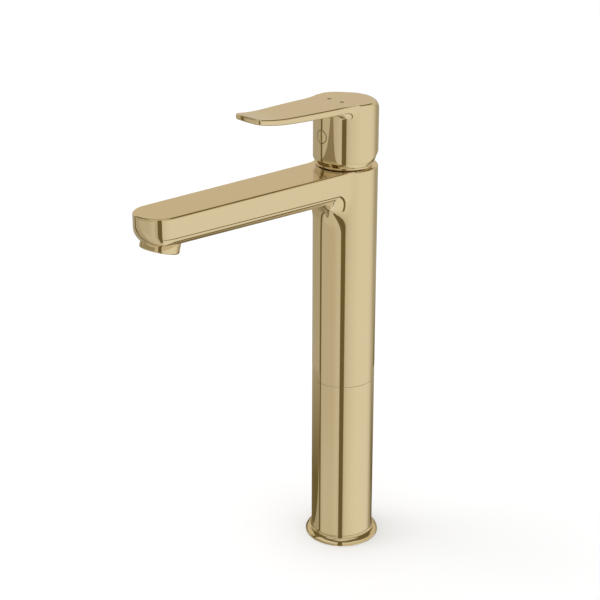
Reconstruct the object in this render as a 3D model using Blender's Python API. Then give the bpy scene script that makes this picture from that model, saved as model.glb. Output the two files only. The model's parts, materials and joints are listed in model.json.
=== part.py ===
"""Tall single-lever basin mixer, built as separate pieces.

Frame: +Z up, origin on the column's axis at the deck. The spout points along -Y.
Heights written as "h" are measured from the flat top of the body.
"""

import math

import bmesh
import bpy
from mathutils import Matrix, Vector

MM = 0.001
GAP = 0.3 * MM              # clearance between touching pieces
SEGMENTS = 48               # sides of the large round pieces
SMALL_SEGMENTS = 24         # sides of the small round pieces

# column and deck
COLUMN_R = 23.0 * MM
COLUMN_BORE_R = 20.3 * MM
BODY_TOP_Z = 292.5 * MM
SEAM_Z = 129.5 * MM
SEAM_CHAMFER = 0.4 * MM
FLANGE_R = 27.5 * MM
FLANGE_CREASE_R = 24.7 * MM
FLANGE_CREASE_Z = 3.9 * MM
FLANGE_TOP_Z = 6.0 * MM
FLANGE_LEDGE_Z = 2.5 * MM
BASE_TOP_Z = 12.0 * MM
HOSE_HOLE_R = 6.3 * MM
HOSE_HOLE_X = 9.5 * MM
STUD_HOLE_R = 3.4 * MM
STUD_HOLE_Y = 13.0 * MM
NIPPLE_HALF_LENGTH = 19.0 * MM
NIPPLE_BORE_R = 17.2 * MM
SEAL_RECESS_R = 22.2 * MM
SEAL_RECESS_DEPTH = 1.0 * MM
SEAL_SECTION_R = 0.75 * MM

# spout
SPOUT_ROOT_HALF_WIDTH = 18.8 * MM
SPOUT_TIP_R = 16.9 * MM
SPOUT_TIP_Y = -161.5 * MM           # centre of the round end
SPOUT_SIDE_DEPTH = (14.8 * MM, 13.4 * MM)       # flat side height at root and tip
SPOUT_CORNER = (7.8 * MM, 7.2 * MM)             # lower corner radius at root and tip
TIP_SIDE_DEPTH = 5.5 * MM           # flat height at the very front
TIP_CORNER_IN = 9.5 * MM            # how far the front wall curls under
TIP_CORNER_DOWN = 15.1 * MM
TRIM = 1.0 * MM                     # stock above the flat top, milled off
SPOUT_FILLET_R = 13.0 * MM
SPOUT_FILLET_HALF_WIDTH = 9.0 * MM
WATERWAY_HALF_WIDTH = 10.0 * MM
WATERWAY_TOP = -5.0 * MM
WATERWAY_FLOOR = -15.5 * MM
WATERWAY_ROOT_TOP = -12.8 * MM
WATERWAY_ROOT_FLOOR = -20.4 * MM
WATERWAY_STEP_Y = -34.0 * MM

# cartridge chamber, heights below the body's top
CHAMBER_FLOOR = -42.0 * MM
CHAMBER_R = 18.2 * MM
CHAMBER_STEP = -12.0 * MM
NUT_BORE_R = 19.4 * MM
MANIFOLD_FLOOR = -77.5 * MM
PORT_X = 7.0 * MM
PORT_Y = 3.5 * MM
PORT_R = 3.2 * MM
INLET_SOCKET_R = 5.2 * MM
INLET_SOCKET_DEPTH = 17.0 * MM

# cartridge
HOUSING_R = 17.4 * MM
HOUSING_BORE_R = 14.6 * MM
HOUSING_SHOULDER = -5.5 * MM
HOUSING_CEILING = -7.7 * MM
NECK_R = 13.2 * MM
NECK_BORE_R = 10.0 * MM
NECK_TOP = 2.0 * MM
PIVOT_H = -4.0 * MM
PIN_R = 1.5 * MM
STEM_HALF = 3.8 * MM
STEM_TOP = 34.0 * MM
STEM_BALL_R = 3.0 * MM
STEM_BALL_ARM = 15.0 * MM           # ball centre below the pivot
DISC_REST_Y = 2.2 * MM

# handle, heights above the body's top
SKIRT_BOTTOM = 0.7 * MM
SKIRT_RING_R = 21.3 * MM
SKIRT_RING_TOP = 1.9 * MM
SKIRT_CHAMFER_TOP = 5.2 * MM
SKIRT_BORE_R = 19.9 * MM
SKIRT_CEILING = 36.0 * MM
SKIRT_R = 22.9 * MM
SKIRT_TOP = 43.0 * MM
LEVER_TOP = 46.8 * MM
LEVER_BOTTOM = 42.2 * MM
LEVER_LENGTH = 91.0 * MM
LEVER_HALF_WIDTH = 19.2 * MM
LEVER_TAPER = 6.5 * MM
LEVER_CORNER_R = 6.0 * MM
LEVER_CURL_START = 63.0 * MM
LEVER_CURL_RISE = 2.7 * MM
LEVER_CROWN = 0.5 * MM
LEVER_WEB_HALF_WIDTH = 9.0 * MM
REAR_DROOP = 3.3 * MM
REAR_DROOP_START = -8.0 * MM
LIFT_ANGLE = math.radians(18.0)
RELIEF_CLEARANCE = 0.4 * MM
PLUG_H = 23.3 * MM
PLUG_R = 4.4 * MM
SCREW_R = 2.4 * MM
BOSS_HALF = 7.5 * MM
BOSS_FRONT = 13.0 * MM
BOSS_BOTTOM = 13.0 * MM
MARKER_R = 1.7 * MM
MARKER_Y = -10.0 * MM
MARKER_X = 6.4 * MM

# aerator, distances along its own axis from the outlet plane
OUTLET_CENTRE = Vector((0.0, -161.8 * MM, BODY_TOP_Z - 25.8 * MM))
OUTLET_TILT = math.radians(16.0)
AERATOR_R = 13.8 * MM
AERATOR_COLLAR = 5.0 * MM
AERATOR_NECK_R = 11.9 * MM
AERATOR_NECK_TOP = 12.5 * MM
AERATOR_BORE_R = 10.6 * MM
AERATOR_LIP_R = 9.6 * MM
AERATOR_SEAT = 14.6 * MM
AERATOR_WAY_R = 9.0 * MM

GOLD = ((0.72, 0.58, 0.36), 0.16, 1.0)
BRASS = ((0.70, 0.52, 0.24), 0.35, 1.0)
STEEL = ((0.62, 0.62, 0.64), 0.25, 1.0)
RUBBER = ((0.02, 0.02, 0.02), 0.75, 0.0)
GREY_PLASTIC = ((0.55, 0.56, 0.58), 0.45, 0.0)
BLACK_PLASTIC = ((0.05, 0.05, 0.05), 0.45, 0.0)
RED_PLASTIC = ((0.60, 0.05, 0.04), 0.40, 0.0)
CERAMIC = ((0.90, 0.89, 0.85), 0.20, 0.0)
DARK_GOLD = ((0.36, 0.28, 0.16), 0.30, 1.0)


def clear_scene():
    for obj in list(bpy.data.objects):
        bpy.data.objects.remove(obj, do_unlink=True)


def make_material(name, look):
    color, roughness, metallic = look
    material = bpy.data.materials.new(name)
    material.use_nodes = True
    shader = material.node_tree.nodes["Principled BSDF"]
    shader.inputs["Base Color"].default_value = (*color, 1.0)
    shader.inputs["Roughness"].default_value = roughness
    shader.inputs["Metallic"].default_value = metallic
    return material


def add_object(name, bm, look=None, origin=(0.0, 0.0, 0.0)):
    """Turn bm into an object whose origin is the given world point."""
    bmesh.ops.remove_doubles(bm, verts=bm.verts, dist=1e-7)
    bmesh.ops.recalc_face_normals(bm, faces=bm.faces)
    mesh = bpy.data.meshes.new(name)
    bm.transform(Matrix.Translation(-Vector(origin)))
    bm.to_mesh(mesh)
    bm.free()
    mesh.shade_smooth()
    mesh.set_sharp_from_angle(angle=math.radians(30.0))
    obj = bpy.data.objects.new(name, mesh)
    obj.location = origin
    bpy.context.scene.collection.objects.link(obj)
    if look is not None:
        mesh.materials.append(make_material(name, look))
    return obj


def apply_boolean(obj, tool, operation):
    """Hide tool as a guide and combine it with obj."""
    tool.hide_render = True
    tool.display_type = "WIRE"
    modifier = obj.modifiers.new(tool.name, "BOOLEAN")
    modifier.operation = operation
    modifier.object = tool
    modifier.solver = "EXACT"


def cut(obj, *tools):
    for tool in tools:
        apply_boolean(obj, tool, "DIFFERENCE")


def join(obj, *tools):
    for tool in tools:
        apply_boolean(obj, tool, "UNION")


def turned_mesh(profile, segments=SEGMENTS):
    """Revolve (radius, z) points about Z. A profile that meets the axis at both ends is
    a solid of revolution; any other profile is closed on itself, as a ring."""
    bm = bmesh.new()
    touches_axis = profile[0][0] == 0.0 and profile[-1][0] == 0.0
    rings = []
    for radius, z in profile:
        if radius == 0.0:
            rings.append([bm.verts.new((0.0, 0.0, z))] * segments)
            continue
        ring = []
        for k in range(segments):
            angle = 2.0 * math.pi * k / segments
            ring.append(bm.verts.new((radius * math.cos(angle), radius * math.sin(angle), z)))
        rings.append(ring)
    pairs = list(zip(rings, rings[1:]))
    if not touches_axis:
        pairs.append((rings[-1], rings[0]))
    for lower, upper in pairs:
        for k in range(segments):
            n = (k + 1) % segments
            corners = []
            for vert in (lower[k], lower[n], upper[n], upper[k]):
                if vert not in corners:
                    corners.append(vert)
            if len(corners) > 2:
                bm.faces.new(corners)
    return bm


def turned(name, profile, look=None, origin=(0.0, 0.0, 0.0), segments=SEGMENTS):
    bm = turned_mesh(profile, segments)
    bmesh.ops.translate(bm, verts=bm.verts, vec=origin)
    return add_object(name, bm, look, origin)


def disc(radius, low, high):
    """Profile of a plain cylinder."""
    return [(0.0, low), (radius, low), (radius, high), (0.0, high)]


def ring_profile(inner, outer, low, high):
    return [(inner, low), (outer, low), (outer, high), (inner, high)]


def o_ring_profile(centre_r, centre_z, section_r, sides=10):
    points = []
    for k in range(sides):
        angle = 2.0 * math.pi * k / sides
        points.append((centre_r + section_r * math.cos(angle), centre_z + section_r * math.sin(angle)))
    return points


def cylinder_between(name, start, end, radius, look=None, segments=SMALL_SEGMENTS, origin=None):
    """Round bar from one point to the other."""
    start, end = Vector(start), Vector(end)
    length = (end - start).length
    bm = turned_mesh(disc(radius, 0.0, length), segments)
    turn = (end - start).to_track_quat("Z", "Y").to_matrix().to_4x4()
    bm.transform(Matrix.Translation(start) @ turn)
    return add_object(name, bm, look, start if origin is None else origin)


def box(name, low, high, look=None, origin=(0.0, 0.0, 0.0)):
    bm = bmesh.new()
    bmesh.ops.create_cube(bm, size=1.0)
    for vert in bm.verts:
        for axis in range(3):
            vert.co[axis] = high[axis] if vert.co[axis] > 0.0 else low[axis]
    return add_object(name, bm, look, origin)


def extruded(name, outline, half_width):
    """Outline of (y, z) points drawn out along X to both sides of the middle."""
    bm = bmesh.new()
    left = [bm.verts.new((-half_width, y, z)) for y, z in outline]
    right = [bm.verts.new((half_width, y, z)) for y, z in outline]
    count = len(outline)
    for k in range(count):
        n = (k + 1) % count
        bm.faces.new((left[k], left[n], right[n], right[k]))
    bm.faces.new(left)
    bm.faces.new(right)
    return add_object(name, bm)


def top(h):
    """World height of a point h above the body's flat top."""
    return BODY_TOP_Z + h


# ---------------------------------------------------------------- column and deck

def build_base_flange():
    dome = []
    steps = 8
    for k in range(steps + 1):
        angle = 0.5 * math.pi * k / steps
        dome.append((FLANGE_CREASE_R + (FLANGE_R - FLANGE_CREASE_R) * math.cos(angle),
                     FLANGE_CREASE_Z * math.sin(angle)))
    bore_r = COLUMN_R + GAP
    lip = [(24.1 * MM, 4.7 * MM), (23.75 * MM, FLANGE_TOP_Z), (bore_r, FLANGE_TOP_Z),
           (bore_r, FLANGE_LEDGE_Z), (COLUMN_BORE_R, FLANGE_LEDGE_Z), (COLUMN_BORE_R, 0.0),
           (22.0 * MM, 0.0), (22.0 * MM, 1.6 * MM), (25.5 * MM, 1.6 * MM), (25.5 * MM, 0.0)]
    turned("base_flange", dome + lip, GOLD)
    turned("base_gasket", ring_profile(22.3 * MM, 25.2 * MM, 0.0, 1.3 * MM), RUBBER)


def build_mounting_base():
    base = turned("mounting_base", disc(COLUMN_BORE_R - GAP, 0.0, BASE_TOP_Z), BRASS)
    for name, x, y, radius in (
            ("hose_hole_hot", -HOSE_HOLE_X, 0.0, HOSE_HOLE_R),
            ("hose_hole_cold", HOSE_HOLE_X, 0.0, HOSE_HOLE_R),
            ("stud_hole_front", 0.0, -STUD_HOLE_Y, STUD_HOLE_R),
            ("stud_hole_rear", 0.0, STUD_HOLE_Y, STUD_HOLE_R)):
        cut(base, cylinder_between(name, (x, y, -MM), (x, y, BASE_TOP_Z + MM), radius))


def build_extension_column():
    low = FLANGE_LEDGE_Z + GAP
    high = SEAM_Z - 0.5 * GAP
    turned("extension_column", [
        (COLUMN_BORE_R, low), (COLUMN_R, low), (COLUMN_R, high - SEAM_CHAMFER),
        (COLUMN_R - SEAM_CHAMFER, high), (SEAL_RECESS_R, high),
        (SEAL_RECESS_R, high - SEAL_RECESS_DEPTH), (COLUMN_BORE_R, high - SEAL_RECESS_DEPTH)], GOLD)


def build_column_joint():
    turned("joint_nipple", ring_profile(NIPPLE_BORE_R, COLUMN_BORE_R - GAP,
                                        SEAM_Z - NIPPLE_HALF_LENGTH, SEAM_Z + NIPPLE_HALF_LENGTH), BRASS)
    turned("joint_o_ring", o_ring_profile(21.15 * MM, SEAM_Z, SEAL_SECTION_R), RUBBER)


# ---------------------------------------------------------------- body and spout

def spout_station(y):
    """Half width, flat side depth, corner reach inward and corner reach downward."""
    t = min(max((y - SPOUT_TIP_Y) / (-SPOUT_TIP_Y), 0.0), 1.0)      # 0 at the round end, 1 at the axis
    half = SPOUT_TIP_R + (SPOUT_ROOT_HALF_WIDTH - SPOUT_TIP_R) * t
    side = SPOUT_SIDE_DEPTH[1] + (SPOUT_SIDE_DEPTH[0] - SPOUT_SIDE_DEPTH[1]) * t
    corner = SPOUT_CORNER[1] + (SPOUT_CORNER[0] - SPOUT_CORNER[1]) * t
    return half, side, corner, corner


def spout_outline():
    """Plan outline from the root round the tip and back, as point, outward normal, profile."""
    straight_steps, arc_steps = 8, 24
    right = []
    for k in range(straight_steps):
        y = SPOUT_TIP_Y * k / straight_steps
        half, side, reach, down = spout_station(y)
        right.append(((half, y), (1.0, 0.0), (side, reach, down)))
    arc = []
    side_0, corner = SPOUT_SIDE_DEPTH[1], SPOUT_CORNER[1]
    for k in range(arc_steps + 1):
        angle = math.pi * k / arc_steps
        front = math.sin(angle) ** 2
        profile = (side_0 + (TIP_SIDE_DEPTH - side_0) * front,
                   corner + (TIP_CORNER_IN - corner) * front,
                   corner + (TIP_CORNER_DOWN - corner) * front)
        normal = (math.cos(angle), -math.sin(angle))
        point = (SPOUT_TIP_R * normal[0], SPOUT_TIP_Y + SPOUT_TIP_R * normal[1])
        arc.append((point, normal, profile))
    left = [((-p[0], p[1]), (-n[0], n[1]), profile) for p, n, profile in reversed(right)]
    return right + arc + left


def build_spout():
    corner_steps = 5
    outline = spout_outline()
    bm = bmesh.new()
    columns = []
    for point, normal, (side, reach, down) in outline:
        rows = [(0.0, -2.0 * TRIM), (0.0, side)]
        for k in range(1, corner_steps + 1):
            angle = 0.5 * math.pi * k / corner_steps
            rows.append((reach * (1.0 - math.cos(angle)), side + down * math.sin(angle)))
        columns.append([bm.verts.new((point[0] - inward * normal[0], point[1] - inward * normal[1],
                                      top(-depth))) for inward, depth in rows])
    for left, right in zip(columns, columns[1:]):
        for lower, upper in zip(range(corner_steps + 1), range(1, corner_steps + 2)):
            bm.faces.new((left[lower], right[lower], right[upper], left[upper]))
    count = len(columns)
    for row in (0, corner_steps + 1):
        for k in range(count // 2):
            corners = []
            for vert in (columns[k][row], columns[k + 1][row],
                         columns[count - 2 - k][row], columns[count - 1 - k][row]):
                if vert not in corners:
                    corners.append(vert)
            if len(corners) > 2:
                bm.faces.new(corners)
    bm.faces.new(columns[0] + list(reversed(columns[-1])))
    return add_object("spout_solid", bm)


def build_spout_fillet():
    """Concave web under the spout's root, as an extruded outline."""
    steps = 8
    half, side, reach, down = spout_station(-COLUMN_R)
    under = top(-(side + down)) + 0.6 * MM
    inside_y = -COLUMN_R + 6.0 * MM
    front_y = -COLUMN_R + 1.3 * MM - SPOUT_FILLET_R
    outline = [(inside_y, under), (front_y, under)]
    for k in range(steps + 1):
        angle = 0.5 * math.pi * k / steps
        outline.append((front_y + SPOUT_FILLET_R * math.sin(angle),
                        under - MM - SPOUT_FILLET_R * (1.0 - math.cos(angle))))
    outline.append((inside_y, under - MM - SPOUT_FILLET_R))
    return extruded("spout_fillet", outline, SPOUT_FILLET_HALF_WIDTH)


def outlet_axis():
    """Unit vector from the outlet plane up into the spout."""
    return Vector((0.0, math.sin(OUTLET_TILT), math.cos(OUTLET_TILT)))


def outlet_point(along):
    return OUTLET_CENTRE + outlet_axis() * along


def outlet_piece(name, profile, look=None, segments=SEGMENTS):
    """Turned piece on the outlet's tilted axis."""
    bm = turned_mesh(profile, segments)
    turn = outlet_axis().to_track_quat("Z", "Y").to_matrix().to_4x4()
    bm.transform(Matrix.Translation(OUTLET_CENTRE) @ turn)
    return add_object(name, bm, look, OUTLET_CENTRE)


def build_body_casting():
    bottom = SEAM_Z + 0.5 * GAP
    floor = top(MANIFOLD_FLOOR)
    body = turned("body_casting", [
        (0.0, top(TRIM)), (COLUMN_R, top(TRIM)), (COLUMN_R, bottom + SEAM_CHAMFER),
        (COLUMN_R - SEAM_CHAMFER, bottom), (SEAL_RECESS_R, bottom),
        (SEAL_RECESS_R, bottom + SEAL_RECESS_DEPTH), (COLUMN_BORE_R, bottom + SEAL_RECESS_DEPTH),
        (COLUMN_BORE_R, floor), (0.0, floor)], GOLD)
    boss = outlet_piece("outlet_boss", disc(AERATOR_R, AERATOR_COLLAR - 2.0 * MM, 11.0 * MM))
    join(body, build_spout(), build_spout_fillet(), boss)
    cut(body,
        box("top_trim", (-30.0 * MM, -200.0 * MM, BODY_TOP_Z), (30.0 * MM, 30.0 * MM, top(4.0 * TRIM))),
        turned("chamber", [(0.0, top(CHAMBER_FLOOR)), (CHAMBER_R, top(CHAMBER_FLOOR)),
                           (CHAMBER_R, top(CHAMBER_STEP)), (NUT_BORE_R, top(CHAMBER_STEP)),
                           (NUT_BORE_R, top(MM)), (0.0, top(MM))]),
        box("waterway", (-WATERWAY_HALF_WIDTH, SPOUT_TIP_Y, top(WATERWAY_FLOOR)),
            (WATERWAY_HALF_WIDTH, WATERWAY_STEP_Y, top(WATERWAY_TOP))),
        box("waterway_root", (-0.8 * WATERWAY_HALF_WIDTH, WATERWAY_STEP_Y - 8.0 * MM, top(WATERWAY_ROOT_FLOOR)),
            (0.8 * WATERWAY_HALF_WIDTH, -15.0 * MM, top(WATERWAY_ROOT_TOP))),
        outlet_piece("collar_seat", disc(AERATOR_R + GAP, -6.0 * MM, AERATOR_COLLAR + GAP)),
        outlet_piece("outlet_socket", disc(AERATOR_NECK_R + GAP, 0.0, AERATOR_SEAT)),
        outlet_piece("outlet_way", disc(AERATOR_WAY_R, AERATOR_SEAT - MM, 17.5 * MM)))
    for side, sign in (("hot", -1.0), ("cold", 1.0)):
        x = sign * PORT_X
        cut(body,
            cylinder_between("inlet_" + side, (x, PORT_Y, floor - MM),
                             (x, PORT_Y, top(CHAMBER_FLOOR) + MM), PORT_R, segments=20),
            cylinder_between("inlet_socket_" + side, (x, PORT_Y, floor - MM),
                             (x, PORT_Y, floor + INLET_SOCKET_DEPTH), INLET_SOCKET_R))


# ---------------------------------------------------------------- aerator

def build_aerator():
    outlet_piece("aerator_housing", [
        (AERATOR_LIP_R, 0.0), (AERATOR_R - 0.8 * MM, 0.0), (AERATOR_R, 0.8 * MM),
        (AERATOR_R, AERATOR_COLLAR), (AERATOR_NECK_R, AERATOR_COLLAR),
        (AERATOR_NECK_R, AERATOR_NECK_TOP), (AERATOR_BORE_R, AERATOR_NECK_TOP),
        (AERATOR_BORE_R, 1.2 * MM), (AERATOR_LIP_R, 1.2 * MM)], GOLD)
    outlet_piece("aerator_gasket", ring_profile(AERATOR_WAY_R, AERATOR_NECK_R,
                                                AERATOR_NECK_TOP + GAP, AERATOR_SEAT - GAP), RUBBER)
    insert_r = AERATOR_BORE_R - GAP
    outlet_piece("aerator_insert", [
        (3.0 * MM, 4.0 * MM), (8.6 * MM, 4.0 * MM), (insert_r, 5.0 * MM), (insert_r, 11.0 * MM),
        (8.8 * MM, 11.0 * MM), (8.8 * MM, 6.5 * MM), (3.0 * MM, 6.5 * MM)], GREY_PLASTIC)
    screen = outlet_piece("aerator_screen", disc(insert_r, 1.5 * MM, 3.7 * MM), BLACK_PLASTIC)
    turn = outlet_axis().to_track_quat("Z", "Y").to_matrix().to_4x4()
    frame = Matrix.Translation(OUTLET_CENTRE) @ turn
    pitch, cell = 3.6 * MM, 2.6 * MM
    bm = bmesh.new()
    for i in range(-2, 3):
        for j in range(-2, 3):
            if abs(i) == 2 and abs(j) == 2:
                continue
            made = bmesh.ops.create_cube(bm, size=1.0)["verts"]
            for vert in made:
                vert.co = Vector((i * pitch + vert.co.x * cell, j * pitch + vert.co.y * cell,
                                  2.6 * MM + vert.co.z * 6.0 * MM))
    bm.transform(frame)
    cut(screen, add_object("screen_cells", bm))


# ---------------------------------------------------------------- cartridge

def build_cartridge_base():
    low, high = top(CHAMBER_FLOOR) + GAP, top(-37.0 * MM)
    base = turned("cartridge_base", disc(HOUSING_R, low, high), GREY_PLASTIC)
    cut(base, box("outlet_notch", (-5.0 * MM, -19.0 * MM, top(-39.4 * MM)), (5.0 * MM, -2.6 * MM, top(-36.0 * MM))))
    for side, sign in (("hot", -1.0), ("cold", 1.0)):
        x = sign * PORT_X
        cut(base,
            cylinder_between("port_" + side, (x, PORT_Y, low - MM), (x, PORT_Y, high + MM), PORT_R, segments=24),
            cylinder_between("seal_pocket_" + side, (x, PORT_Y, low - MM), (x, PORT_Y, low + 1.5 * MM), 5.9 * MM))
        turned(side + "_port_seal", ring_profile(4.0 * MM, 5.6 * MM, 0.0, 1.2 * MM), RUBBER,
               origin=(x, PORT_Y, low), segments=SMALL_SEGMENTS)


def build_discs():
    low = top(-36.7 * MM)
    fixed = turned("fixed_disc", disc(HOUSING_BORE_R - GAP, low, low + 3.6 * MM), CERAMIC)
    cut(fixed, cylinder_between("disc_outlet", (0.0, -6.4 * MM, low - MM), (0.0, -6.4 * MM, low + 5.0 * MM), 3.4 * MM))
    for side, sign in (("hot", -1.0), ("cold", 1.0)):
        x = sign * PORT_X
        cut(fixed, cylinder_between("disc_port_" + side, (x, PORT_Y, low - MM), (x, PORT_Y, low + 5.0 * MM),
                                    PORT_R, segments=24))
    low = top(-32.8 * MM)
    moving = turned("moving_disc", disc(10.6 * MM, low, low + 3.8 * MM), CERAMIC)
    moving.location.y = DISC_REST_Y
    cut(moving, box("mixing_pocket", (-6.5 * MM, DISC_REST_Y - 6.0 * MM, low - MM),
                    (6.5 * MM, DISC_REST_Y + 3.0 * MM, low + 1.6 * MM)))


def build_disc_carrier():
    low, high = top(-28.7 * MM), top(-16.4 * MM)
    carrier = turned("disc_carrier", disc(11.6 * MM, low, high), GREY_PLASTIC)
    carrier.location.y = DISC_REST_Y
    cut(carrier, box("ball_slot", (-3.5 * MM, -3.5 * MM, top(-23.0 * MM)), (3.5 * MM, 3.5 * MM, high + MM)))


def build_turret():
    """Turning guide; the stem swings in its slot on the cross pin."""
    shoulder = HOUSING_CEILING - GAP
    profile = [(0.0, top(-16.1 * MM)), (HOUSING_BORE_R - GAP, top(-16.1 * MM)),
               (HOUSING_BORE_R - GAP, top(shoulder)), (NECK_BORE_R - GAP, top(shoulder)),
               (NECK_BORE_R - GAP, top(1.2 * MM)), (0.0, top(1.2 * MM))]
    turret = turned("turret", profile, BLACK_PLASTIC)
    pivot_z = top(PIVOT_H)
    cut(turret,
        box("stem_slot", (-STEM_HALF - GAP, -6.9 * MM, top(-17.0 * MM)), (STEM_HALF + GAP, 6.5 * MM, top(2.0 * MM))),
        cylinder_between("pin_hole", (-12.0 * MM, 0.0, pivot_z), (12.0 * MM, 0.0, pivot_z), PIN_R + GAP, segments=20))
    cylinder_between("stem_pin", (-8.8 * MM, 0.0, pivot_z), (8.8 * MM, 0.0, pivot_z), PIN_R, STEEL,
                     segments=20, origin=(0.0, 0.0, pivot_z))


def build_lever_stem():
    pivot = Vector((0.0, 0.0, top(PIVOT_H)))
    stem = box("lever_stem", (-STEM_HALF, -STEM_HALF, top(-9.5 * MM)), (STEM_HALF, STEM_HALF, top(STEM_TOP)),
               BRASS, origin=pivot)
    ball_z = pivot.z - STEM_BALL_ARM
    steps = 8
    profile = [(0.0, ball_z - STEM_BALL_R)]
    for k in range(1, steps):
        angle = -0.5 * math.pi + math.pi * k / steps
        radius, z = STEM_BALL_R * math.cos(angle), ball_z + STEM_BALL_R * math.sin(angle)
        if angle > 0.0 and radius < 2.2 * MM:
            break
        profile.append((radius, z))
    profile += [(2.2 * MM, ball_z + 2.1 * MM), (2.2 * MM, top(-8.5 * MM)), (0.0, top(-8.5 * MM))]
    join(stem, turned("stem_end", profile, segments=24))
    cut(stem, cylinder_between("stem_hole", pivot - Vector((6.0 * MM, 0.0, 0.0)),
                               pivot + Vector((6.0 * MM, 0.0, 0.0)), PIN_R + GAP, segments=20))


def build_cartridge_shell():
    turned("cartridge_housing", [
        (HOUSING_BORE_R, top(-36.7 * MM)), (HOUSING_R, top(-36.7 * MM)), (HOUSING_R, top(HOUSING_SHOULDER)),
        (NECK_R, top(HOUSING_SHOULDER)), (NECK_R, top(NECK_TOP)), (NECK_BORE_R, top(NECK_TOP)),
        (NECK_BORE_R, top(HOUSING_CEILING)), (HOUSING_BORE_R, top(HOUSING_CEILING))], GREY_PLASTIC)
    turned("housing_o_ring", o_ring_profile(18.4 * MM, top(-11.0 * MM), 0.7 * MM), RUBBER)
    turned("limit_ring", ring_profile(NECK_BORE_R, NECK_R, top(NECK_TOP + GAP), top(4.0 * MM)), RED_PLASTIC)
    nut_r = NUT_BORE_R - GAP
    turned("retaining_nut", [
        (NECK_R + GAP, top(HOUSING_SHOULDER + GAP)), (nut_r, top(HOUSING_SHOULDER + GAP)),
        (nut_r, top(-0.4 * MM)), (18.6 * MM, top(-0.4 * MM)), (18.6 * MM, top(1.5 * MM)),
        (NECK_R + GAP, top(1.5 * MM))], BRASS)
    dome_steps = 5
    dome = []
    for k in range(dome_steps + 1):
        angle = 0.5 * math.pi * k / dome_steps
        dome.append(((15.4 + 3.3 * math.cos(angle)) * MM, top((2.4 + 2.6 * math.sin(angle)) * MM)))
    turned("trim_collar", [(NECK_R + GAP, top(1.8 * MM)), (18.7 * MM, top(1.8 * MM))] + dome
           + [(NECK_R + GAP, top(5.0 * MM))], GOLD)


# ---------------------------------------------------------------- handle

def lever_half_width(a):
    """Half width of the lever's plan at distance a in front of the axis."""
    if a <= 0.0:
        return math.sqrt(max(COLUMN_R ** 2 - a ** 2, 0.0))
    plain = LEVER_HALF_WIDTH - LEVER_TAPER * (a / LEVER_LENGTH) ** 2
    corner_start = LEVER_LENGTH - LEVER_CORNER_R
    if a > corner_start:
        plain += math.sqrt(max(LEVER_CORNER_R ** 2 - (a - corner_start) ** 2, 0.0)) - LEVER_CORNER_R
    round_part = math.sqrt(max(COLUMN_R ** 2 - a ** 2, 0.0))
    return max(plain, round_part)


def lever_top(a):
    """Height of the lever's upper edge above the body's top."""
    h = LEVER_TOP
    if a > LEVER_CURL_START:
        h += LEVER_CURL_RISE * ((a - LEVER_CURL_START) / (LEVER_LENGTH - LEVER_CURL_START)) ** 2
    if a < REAR_DROOP_START:
        h -= REAR_DROOP * ((REAR_DROOP_START - a) / (COLUMN_R + REAR_DROOP_START)) ** 2
    return h


def build_lever_plate():
    """Flat lever with the round top of the skirt, lofted from front to rear."""
    stations = []
    quarter = SEGMENTS // 4
    for k in range(1, quarter + 1):
        stations.append(-COLUMN_R * math.cos(0.5 * math.pi * k / quarter))
    stations += [COLUMN_R * math.sin(0.5 * math.pi * k / quarter) for k in range(1, 5)]
    straight_end = LEVER_LENGTH - LEVER_CORNER_R
    first = stations[-1]
    stations += [first + (straight_end - first) * k / 14 for k in range(1, 15)]
    stations += [straight_end + LEVER_CORNER_R * math.sin(0.5 * math.pi * k / 6) for k in range(1, 7)]
    across = 4
    bm = bmesh.new()
    tail_h = lever_top(-COLUMN_R)
    tail = [bm.verts.new((0.0, COLUMN_R, top(tail_h))), bm.verts.new((0.0, COLUMN_R, top(LEVER_BOTTOM)))]
    rows = []
    for a in stations:
        half, high = lever_half_width(a), lever_top(a)
        rise = max(high - LEVER_TOP, 0.0)
        low = LEVER_BOTTOM + rise * 1.25
        row = []
        for k in range(-across, across + 1):
            s = k / across
            row.append(bm.verts.new((half * s, -a, top(high + LEVER_CROWN * (1.0 - s * s)))))
        row.append(bm.verts.new((half, -a, top(low))))
        row.append(bm.verts.new((-half, -a, top(low))))
        rows.append(row)
    count = len(rows[0])
    for front, rear in zip(rows[1:], rows):
        for k in range(count):
            n = (k + 1) % count
            bm.faces.new((rear[k], rear[n], front[n], front[k]))
    first_row = rows[0]
    last = 2 * across
    for k in range(last):
        bm.faces.new((first_row[k], first_row[k + 1], tail[0]))
    bm.faces.new((first_row[last], first_row[last + 1], tail[1], tail[0]))
    bm.faces.new((first_row[last + 1], first_row[last + 2], tail[1]))
    bm.faces.new((first_row[last + 2], first_row[0], tail[0], tail[1]))
    bm.faces.new(rows[-1])
    return add_object("lever_plate", bm)


def build_lever_web():
    """Thickening under the lever's root, as an outline extruded across."""
    outline = [(-17.0 * MM, top(SKIRT_CEILING)), (-COLUMN_R, top(SKIRT_CEILING)),
               (-COLUMN_R - 8.0 * MM, top(39.2 * MM)), (-COLUMN_R - 16.0 * MM, top(41.2 * MM)),
               (-COLUMN_R - 26.0 * MM, top(LEVER_BOTTOM + 0.5 * MM)), (-17.0 * MM, top(LEVER_BOTTOM + 0.5 * MM))]
    return extruded("lever_web", outline, LEVER_WEB_HALF_WIDTH)


def build_relief():
    """Wedge that frees the skirt's rear edge when the lever is lifted."""
    pivot_z = top(PIVOT_H)
    lowest = (RELIEF_CLEARANCE - PIVOT_H) / math.cos(LIFT_ANGLE)
    reach = 40.0 * MM
    start_y = -4.0 * MM
    slope = math.tan(LIFT_ANGLE)
    outline = [(start_y, pivot_z + lowest + start_y * slope), (reach, pivot_z + lowest + reach * slope),
               (reach, pivot_z - 10.0 * MM), (start_y, pivot_z - 10.0 * MM)]
    return extruded("skirt_relief", outline, reach)


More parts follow.
